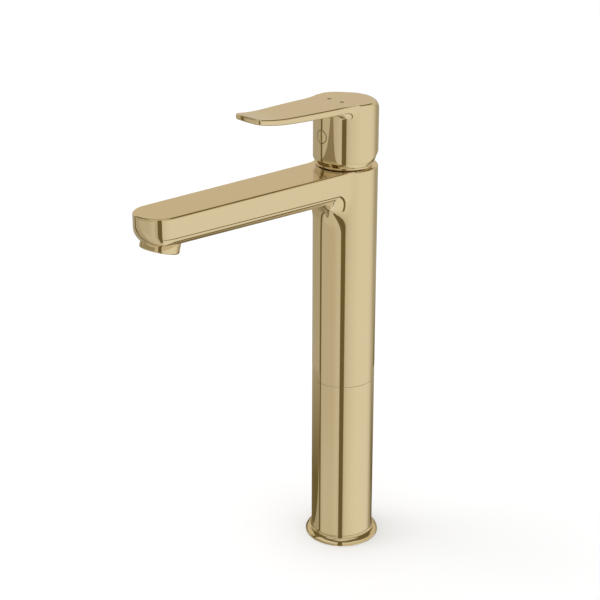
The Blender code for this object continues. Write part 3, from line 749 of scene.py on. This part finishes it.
def build_body(gold):
    spout = Spout(COLUMN_R, SPOUT_EDGE_R, SPOUT_SIDE_FILLET)
    bottom = SEAM_Z + SEAM_GAP - TOP_Z
    soft = SEAM_EDGE_R
    lower = [(COLUMN_R, bottom + soft + SUPPORT)]
    for k in range(5):
        angle = RIGHT_ANGLE * k / 4
        lower.append((COLUMN_R - soft * (1.0 - math.cos(angle)), bottom + soft * (1.0 - math.sin(angle))))
    lower += [(COLUMN_R - soft - SUPPORT, bottom), (0.0, bottom)]
    return build_arm_skin("body_shell", spout, TOP_Z, lower, "body", gold, ("body_casting",))


def build_handle(gold):
    lever = Lever(COLUMN_R, LEVER_EDGE_R, LEVER_SIDE_FILLET)
    rows = [
        (COLUMN_R, 0.5 * (LEVER_TOP + SKIRT_CHAMFER_TOP)), (COLUMN_R, SKIRT_CHAMFER_TOP + 3.0 * MM),
        (COLUMN_R, SKIRT_CHAMFER_TOP + 0.5 * MM),
        (COLUMN_R - 0.03 * MM, SKIRT_CHAMFER_TOP + 0.15 * MM),
        (COLUMN_R - 0.12 * MM, SKIRT_CHAMFER_TOP - 0.15 * MM),
        (SKIRT_RING_R + 0.1 * MM, SKIRT_RING_TOP + 0.2 * MM), (SKIRT_RING_R, SKIRT_RING_TOP),
        (SKIRT_RING_R, SKIRT_RING_TOP - 0.2 * MM), (SKIRT_RING_R, SKIRT_BOTTOM + 0.3 * MM),
        (SKIRT_RING_R - 0.05 * MM, SKIRT_BOTTOM + 0.08 * MM), (SKIRT_RING_R - 0.2 * MM, SKIRT_BOTTOM),
        (SKIRT_BORE_R + 0.1 * MM, SKIRT_BOTTOM), (SKIRT_BORE_R, SKIRT_BOTTOM + 0.2 * MM),
        (SKIRT_BORE_R, 0.5 * SKIRT_CEILING), (SKIRT_BORE_R, SKIRT_CEILING - 0.3 * MM),
        (SKIRT_BORE_R - 0.3 * MM, SKIRT_CEILING), (0.0, SKIRT_CEILING)]
    lower = [(radius, h - LEVER_TOP) for radius, h in rows]
    return build_arm_skin("handle_shell", lever, TOP_Z, lower, "lever", gold, ("handle",), lever_lift)


def build_tube(gold):
    low, high = TUBE_LOW.z, SEAM_Z - SEAM_GAP
    inner, soft = COLUMN_R - TUBE_WALL, 0.1 * MM
    return turned_skin("column_tube", [
        (COLUMN_R, low, soft), (COLUMN_R, high, SEAM_EDGE_R), (inner, high, soft), (inner, low, soft)],
        "body", gold, ("extension_column",))


def build_flange(gold):
    """Flared foot ring: a leaning wall, a crease, and a hollow rising to the column."""
    crease_r, crease_z = FLANGE_CREASE
    foot_r = FLANGE_HIGH.x
    inner = COLUMN_R + 0.12 * MM
    corners = [(foot_r - 0.35 * MM, 0.0, 0.0), (foot_r - 0.06 * MM, 0.12 * MM, 0.0)]
    steps = 12
    for k in range(1, steps + 1):
        share = k / steps
        bulge = FLANGE_BULGE * math.sin(math.pi * share)
        corners.append((lerp(foot_r, crease_r, share) + bulge, lerp(0.35 * MM, crease_z, share), 0.0))
    for k in range(1, 9):
        angle = RIGHT_ANGLE * k / 9
        corners.append((crease_r - (crease_r - inner - 0.1 * MM) * math.sin(angle),
                        FLANGE_HIGH.z - (FLANGE_HIGH.z - crease_z - 0.05 * MM) * math.cos(angle), 0.0))
    corners += [(inner + 0.08 * MM, FLANGE_HIGH.z, 0.0), (inner, FLANGE_HIGH.z, 0.0),
                (inner, 0.6 * MM, 0.0), (inner, 0.3 * MM, 0.0), (inner + 0.3 * MM, 0.0, 0.0)]
    return turned_skin("flange_ring", corners, "body", gold, ("base_flange",))


def outlet_matrix():
    axis = Vector((0.0, math.sin(OUTLET_TILT), math.cos(OUTLET_TILT)))
    return Matrix.Translation(OUTLET_CENTRE) @ axis.to_track_quat("Z", "Y").to_matrix().to_4x4()


def build_aerator(gold):
    turned_skin("aerator_collar", [
        (AERATOR_R, AERATOR_HEIGHT, 0.0), (AERATOR_LIP_R, AERATOR_HEIGHT, 0.0),
        (AERATOR_LIP_R, 0.0, 0.45 * MM), (AERATOR_R, 0.0, 0.8 * MM)],
        "body", gold, ("aerator_housing",), outlet_matrix())


def curved_disc(name, rings, material, replaces=()):
    """Round piece on the skirt's front, from (radius, height over the skirt) rings."""
    segments = 64
    verts = []
    for s in range(segments + 1):
        angle = TAU * s / segments
        for radius, proud in rings:
            x = radius * math.cos(angle)
            verts.append(Vector((x, -math.sqrt((COLUMN_R + proud) ** 2 - x ** 2),
                                 TOP_Z + PLUG_H + radius * math.sin(angle))))
    return finish_mesh(name, verts, grid_faces(segments + 1, len(rings)), "lever", material, replaces)


def build_plug(gold, dark):
    """Cap that follows the skirt's curve, and a dark ring round it that paints the shade of the gap."""
    depth = -2.4 * MM
    curved_disc("indicator_cap", [
        (0.0, PLUG_PROUD), (0.5 * PLUG_R, PLUG_PROUD), (PLUG_R - 0.5 * MM, PLUG_PROUD),
        (PLUG_R - 0.25 * MM, 0.10 * MM), (PLUG_R - 0.08 * MM, 0.04 * MM), (PLUG_R, -0.1 * MM),
        (PLUG_R, depth), (0.0, depth)],
        gold, ("indicator_plug",))
    # dark ring standing slightly proud of the skirt: painted shade in place of the shadow in the gap round
    # the plug
    inner = PLUG_R + 0.02 * MM
    outer = inner + PLUG_SHADE_RING_WIDTH
    low, high = -0.3 * MM, 0.03 * MM
    curved_disc("indicator_gap_painted_shade", [
        (inner, low), (inner, high), (outer, high), (outer, low), (inner, low)], dark)


def build_markers(material):
    for name, sign in (("hot_marker", -1.0), ("cold_marker", 1.0)):
        x = sign * MARKER_X
        surface = TOP_Z + LEVER_TOP
        place = Matrix.Translation(Vector((x, MARKER_Y, surface + MARKER_PROUD)))
        turned_skin(name + "_inlay", [
            (0.0, 0.0, 0.0), (MARKER_R, 0.0, 0.1 * MM),
            (MARKER_R, -MARKER_DEPTH, 0.0), (0.0, -MARKER_DEPTH, 0.0)],
            "lever", material, (name,), place, 32)


# ---------------------------------------------------------------- stage

# Brightness of the tent at each azimuth, in degrees from the spout towards +X: what the
# upright walls mirror, seen from most heights and, in the second row, steeply downwards.
TENT_UPPER = [(-180, 0.45), (-150, 0.45), (-110, 0.47), (-60, 0.51), (-48, 0.50), (-40, 0.59), (-20, 0.60),
              (5, 0.60), (16, 0.64), (25, 0.69), (33, 0.66), (40, 0.56), (50, 0.62), (56, 0.68), (66, 0.75),
              (80, 0.79), (100, 0.84), (145, 0.84), (160, 0.76), (172, 0.55)]
TENT_LOWER = [(-180, 0.40), (-110, 0.42), (-60, 0.46), (-48, 0.48), (-38, 0.60), (-28, 0.66), (5, 0.65),
              (24, 0.70), (33, 0.64), (40, 0.56), (50, 0.62), (62, 0.75), (80, 0.82), (110, 0.87),
              (150, 0.83), (162, 0.74), (170, 0.55)]
LOWER_BAND = (-95.0, -27.5, 2.5)    # elevations of the second row: from, to, softness
# Fields of the tent: azimuths and elevations, each as from, to, softness.
TABLE_EDGE = ((70.0, 178.0, 6.0), (-38.5, -33.0, 1.2))
TABLE_EDGE_LEVEL = 0.10
REAR_NEAR = ((157.0, 245.0, 6.0), (-75.0, -43.0, 2.5))
REAR_FAR = ((190.0, 245.0, 6.0), (-75.0, -23.0, 2.5))
REAR_LEVEL = 0.15
FRONT_STEP = ((-62.0, 30.0, 6.0), (-6.0, 21.0, 4.0))
FRONT_STEP_LEVEL = 0.36
CANOPY_BAND = (5.0, 95.0, 5.0)
CANOPY_LEVEL = 0.75
CANOPY_TINT_BAND = (1.5, 28.0, 4.0)
GAP_ABOVE_CANOPY = (0.0, 200.0, 3.0)
GAP_BAND = (10.0, 64.0, 4.0)
GAP_LEVEL = 0.17
# How high the bright canopy reaches before the dark gap under the ceiling, in degrees.
CANOPY = [(-180, 27), (-140, 28), (-110, 32), (-52, 30), (-36, 48), (0, 52), (100, 50), (128, 36), (145, 27)]
# The tint that goes with a brightness: shadows in the tent are warm, its light is white.
TENT_TINT = [(0.17, (0.170, 0.139, 0.066)), (0.30, (0.300, 0.268, 0.184)), (0.40, (0.392, 0.363, 0.282)),
             (0.52, (0.516, 0.492, 0.431)), (0.61, (0.614, 0.588, 0.534)), (0.72, (0.720, 0.708, 0.680)),
             (0.85, (0.850, 0.850, 0.850))]
CANOPY_TINT = (0.665, 0.600, 0.490)
# Dark mat on the floor, seen by mirrors only: sector of azimuths, the radii between which it
# fades, and the colour it fades to.
MAT_SECTOR = (172.0, 315.0)
MAT_FADE = (0.10, 0.31)
MAT_RIM_COLOR = (0.44, 0.41, 0.34)
MAT_STEPS = 48
MAT_DROP = 0.1 * MM
# Dark uprights, seen by mirrors only: (x, y, width) in metres. They stand near enough to be seen
# at different angles from the column and from the spout's tip.
UPRIGHTS = [(0.370, -0.411, 0.150), (-0.245, -0.253, 0.050)]
UPRIGHT_COLOR = (0.170, 0.139, 0.066)
UPRIGHT_SPAN = (-0.7, 0.75)         # heights of their foot and head
# Gold takes its own colour out of light each time it mirrors it. Light met after a second
# mirror is given about half of that colour back, so that castings mirrored in castings stay pale.
SECOND_MIRROR = (1.0, 1.10, 1.42)
EVEN_STRENGTH = 1.06                # the white light that all other rays see

FLOOR_SIZE = 6.0
FLOOR_DROP = 0.2 * MM

CAMERA_PLACE = (0.7017, -0.6621, 0.5790)
CAMERA_TILT = math.radians(70.37)
CAMERA_TURN = math.radians(48.56)
CAMERA_LENS = 85.78                 # millimetres, on a sensor 36 mm wide
CAMERA_SHIFT = -0.1                 # lowers the frame without tilting the camera

SOFTBOX_PLACE = (-0.9, -0.9, 1.6)
SOFTBOX_SIZE = 1.2
SOFTBOX_POWER = 5.0


def build_camera():
    camera = bpy.data.cameras.new("camera")
    camera.lens = CAMERA_LENS
    camera.sensor_width = 36.0
    camera.shift_y = CAMERA_SHIFT
    camera.clip_start = 0.01
    obj = bpy.data.objects.new("camera", camera)
    obj.location = CAMERA_PLACE
    obj.rotation_euler = (CAMERA_TILT, 0.0, CAMERA_TURN)
    bpy.context.scene.collection.objects.link(obj)
    bpy.context.scene.camera = obj


def math_node(tree, operation, *values):
    node = add_node(tree, "ShaderNodeMath", operation=operation)
    for index, value in enumerate(values):
        feed(tree, node.inputs[index], value)
    return node.outputs["Value"]


def ramp(tree, factor, stops):
    node = add_node(tree, "ShaderNodeValToRGB")
    elements = node.color_ramp.elements
    while len(elements) > 1:
        elements.remove(elements[0])
    elements[0].position = stops[0][0]
    elements[0].color = (*stops[0][1], 1.0)
    for position, color in stops[1:]:
        element = elements.new(position)
        element.color = (*color, 1.0)
    tree.links.new(factor, node.inputs["Fac"])
    return node.outputs["Color"]


def soft_step(tree, value, middle, soft, start, stop):
    """start below middle, stop above it, with a smooth change soft wide on both sides."""
    node = add_node(tree, "ShaderNodeMapRange", {
        "From Min": middle - soft, "From Max": middle + soft, "To Min": start, "To Max": stop},
        interpolation_type="SMOOTHSTEP")
    tree.links.new(value, node.inputs["Value"])
    return node.outputs["Result"]


def band(tree, value, limits):
    """1 between the limits' low and high, falling off over their softness on both sides."""
    low, high, soft = limits
    rise = soft_step(tree, value, low, soft, 0.0, 1.0)
    fall = soft_step(tree, value, high, soft, 1.0, 0.0)
    return math_node(tree, "MULTIPLY", rise, fall)


def field(tree, azimuth, elevation, limits):
    """1 inside a field of the tent, given by its azimuth and elevation limits."""
    return math_node(tree, "MULTIPLY", band(tree, azimuth, limits[0]), band(tree, elevation, limits[1]))


def round_ramp(tree, turn, stops):
    """Values at azimuths in degrees, joined into a closed round."""
    levels = [((angle + 180.0) / 360.0, (level,) * 3) for angle, level in stops]
    return ramp(tree, turn, levels + [(1.0, levels[0][1])])


def blend_value(tree, factor, base, value):
    return blend(tree, "FLOAT", factor, base, value)


def tent_level(tree, azimuth, elevation):
    """Brightness of the tent in a direction, and a mask of its canopy."""
    turn = math_node(tree, "DIVIDE", math_node(tree, "ADD", azimuth, 180.0), 360.0)
    upper, lower = round_ramp(tree, turn, TENT_UPPER), round_ramp(tree, turn, TENT_LOWER)
    level = blend_value(tree, band(tree, elevation, LOWER_BAND), upper, lower)
    # under the near side: a dark table edge
    edge = field(tree, azimuth, elevation, TABLE_EDGE)
    level = blend_value(tree, edge, level, TABLE_EDGE_LEVEL)
    # behind and low down: the tent's dark rear, whose azimuths pass 180 degrees
    past = math_node(tree, "MULTIPLY", 360.0, math_node(tree, "LESS_THAN", azimuth, 0.0))
    around = math_node(tree, "ADD", azimuth, past)
    near, far = (field(tree, around, elevation, limits) for limits in (REAR_NEAR, REAR_FAR))
    level = blend_value(tree, math_node(tree, "MAXIMUM", near, far), level, REAR_LEVEL)
    # above the horizon: a bright canopy, in front of it a dark step, over it a dark gap
    step = field(tree, azimuth, elevation, FRONT_STEP)
    level = blend_value(tree, band(tree, elevation, CANOPY_BAND), level, CANOPY_LEVEL)
    level = blend_value(tree, step, level, FRONT_STEP_LEVEL)
    reach = round_ramp(tree, turn, [(angle, height / 90.0) for angle, height in CANOPY])
    above = math_node(tree, "SUBTRACT", elevation, math_node(tree, "MULTIPLY", reach, 90.0))
    gap = math_node(tree, "MULTIPLY", band(tree, above, GAP_ABOVE_CANOPY), band(tree, elevation, GAP_BAND))
    level = blend_value(tree, gap, level, GAP_LEVEL)
    clear = math_node(tree, "SUBTRACT", 1.0, math_node(tree, "MAXIMUM", gap, step))
    return level, math_node(tree, "MULTIPLY", band(tree, elevation, CANOPY_TINT_BAND), clear)


def second_mirror_gain(tree, path):
    """Colour gain for light that has met more than one mirror."""
    extra = math_node(tree, "SUBTRACT", path.outputs["Glossy Depth"], 1.0)
    extra = math_node(tree, "MAXIMUM", extra, 0.0)
    gain = add_node(tree, "ShaderNodeCombineColor")
    for channel, base in zip(("Red", "Green", "Blue"), SECOND_MIRROR):
        tree.links.new(math_node(tree, "POWER", base, extra), gain.inputs[channel])
    return gain.outputs["Color"]


def build_tent():
    """Light tent as the world: glossy rays see its panels, all others an even white light."""
    world = bpy.data.worlds.new("light_tent")
    bpy.context.scene.world = world
    world.use_nodes = True
    tree = world.node_tree
    tree.nodes.clear()
    coords = add_node(tree, "ShaderNodeTexCoord")
    split = add_node(tree, "ShaderNodeSeparateXYZ")
    tree.links.new(coords.outputs["Generated"], split.inputs["Vector"])
    x, y, z = split.outputs["X"], split.outputs["Y"], split.outputs["Z"]
    forward = math_node(tree, "MULTIPLY", y, -1.0)
    azimuth = math_node(tree, "DEGREES", math_node(tree, "ARCTAN2", x, forward))
    elevation = math_node(tree, "DEGREES", math_node(tree, "ARCSINE", z))
    level, canopy = tent_level(tree, azimuth, elevation)
    tint = mixed(tree, canopy, ramp(tree, level, TENT_TINT), CANOPY_TINT)
    path = add_node(tree, "ShaderNodeLightPath")
    corrected = add_node(tree, "ShaderNodeVectorMath", operation="MULTIPLY")
    tree.links.new(tint, corrected.inputs[0])
    tree.links.new(second_mirror_gain(tree, path), corrected.inputs[1])
    panels = add_node(tree, "ShaderNodeBackground")
    tree.links.new(corrected.outputs["Vector"], panels.inputs["Color"])
    even = add_node(tree, "ShaderNodeBackground", {"Color": (1.0, 1.0, 1.0, 1.0), "Strength": EVEN_STRENGTH})
    choose = add_node(tree, "ShaderNodeMixShader")
    tree.links.new(path.outputs["Is Glossy Ray"], choose.inputs["Fac"])
    tree.links.new(even.outputs["Background"], choose.inputs[1])
    tree.links.new(panels.outputs["Background"], choose.inputs[2])
    output = add_node(tree, "ShaderNodeOutputWorld")
    tree.links.new(choose.outputs["Shader"], output.inputs["Surface"])


def build_floor():
    mesh = bpy.data.meshes.new("floor")
    half = 0.5 * FLOOR_SIZE
    mesh.from_pydata([(-half, -half, 0.0), (half, -half, 0.0), (half, half, 0.0), (-half, half, 0.0)], [],
                     [(0, 1, 2, 3)])
    material, tree, shader = new_material("pale_floor")
    tone = ranged(tree, noise(tree, 3.0, 2.0), 0.0, 1.0)
    tree.links.new(mixed(tree, tone, (0.93, 0.93, 0.93), (0.95, 0.95, 0.95)), shader.inputs["Base Color"])
    shader.inputs["Roughness"].default_value = 0.9
    shader.inputs["Specular IOR Level"].default_value = 0.0
    mesh.materials.append(material)
    floor = bpy.data.objects.new("floor", mesh)
    floor.location.z = -FLOOR_DROP
    floor.visible_glossy = False
    bpy.context.scene.collection.objects.link(floor)


def mirror_only(obj):
    """Add a stage piece that only glossy rays see."""
    for kind in ("camera", "diffuse", "transmission", "volume_scatter", "shadow"):
        setattr(obj, "visible_" + kind, False)
    bpy.context.scene.collection.objects.link(obj)


def glow_material(name):
    material, tree, _ = new_material(name)
    tree.nodes.clear()
    glow = add_node(tree, "ShaderNodeEmission", {"Color": (*UPRIGHT_COLOR, 1.0)})
    output = add_node(tree, "ShaderNodeOutputMaterial")
    tree.links.new(glow.outputs["Emission"], output.inputs["Surface"])
    return material, tree, glow


def build_mat():
    """Dark sector of the floor round the foot, which only mirrors see."""
    material, tree, glow = glow_material("dark_mat")
    coords = add_node(tree, "ShaderNodeTexCoord")
    length = add_node(tree, "ShaderNodeVectorMath", operation="LENGTH")
    tree.links.new(coords.outputs["Object"], length.inputs[0])
    share = ranged(tree, length.outputs["Value"], 0.0, 1.0, *MAT_FADE)
    tree.links.new(mixed(tree, share, UPRIGHT_COLOR, MAT_RIM_COLOR), glow.inputs["Color"])
    verts = [Vector((0.0, 0.0, -MAT_DROP))]
    for k in range(MAT_STEPS + 1):
        azimuth = math.radians(lerp(*MAT_SECTOR, k / MAT_STEPS))
        verts.append(polar(MAT_FADE[1], azimuth, -MAT_DROP))
    mesh = bpy.data.meshes.new("dark_mat")
    mesh.from_pydata(verts, [], [(0, k + 1, k + 2) for k in range(MAT_STEPS)])
    mesh.materials.append(material)
    mirror_only(bpy.data.objects.new("dark_mat", mesh))


def build_uprights():
    """Dark cards that only mirrors see, facing the column."""
    material, _, _ = glow_material("upright_cloth")
    for index, (x, y, width) in enumerate(UPRIGHTS):
        across = Vector((-y, x, 0.0)).normalized() * 0.5 * width
        foot, head = (Vector((x, y, z)) for z in UPRIGHT_SPAN)
        mesh = bpy.data.meshes.new("upright")
        mesh.from_pydata([foot - across, foot + across, head + across, head - across], [], [(0, 1, 2, 3)])
        mesh.materials.append(material)
        mirror_only(bpy.data.objects.new(f"upright_{index}", mesh))


def build_key_light():
    light = bpy.data.lights.new("softbox", "AREA")
    light.shape = "DISK"
    light.size = SOFTBOX_SIZE
    light.energy = SOFTBOX_POWER
    obj = bpy.data.objects.new("softbox", light)
    obj.location = SOFTBOX_PLACE
    obj.rotation_euler = (Vector((0.0, 0.0, 0.1)) - obj.location).to_track_quat("-Z", "Y").to_euler()
    obj.visible_glossy = False
    bpy.context.scene.collection.objects.link(obj)


def main():
    build_camera()
    build_tent()
    build_floor()
    build_mat()
    build_uprights()
    build_key_light()
    bpy.context.scene.view_settings.view_transform = "Standard"
    materials = slot_materials()
    dress_cad_nodes(materials)
    gold = materials["gold"]
    build_body(gold)
    build_handle(gold)
    build_tube(gold)
    build_flange(gold)
    build_aerator(gold)
    build_plug(gold, materials["dark_gold"])
    build_markers(materials["dark_gold"])


main()
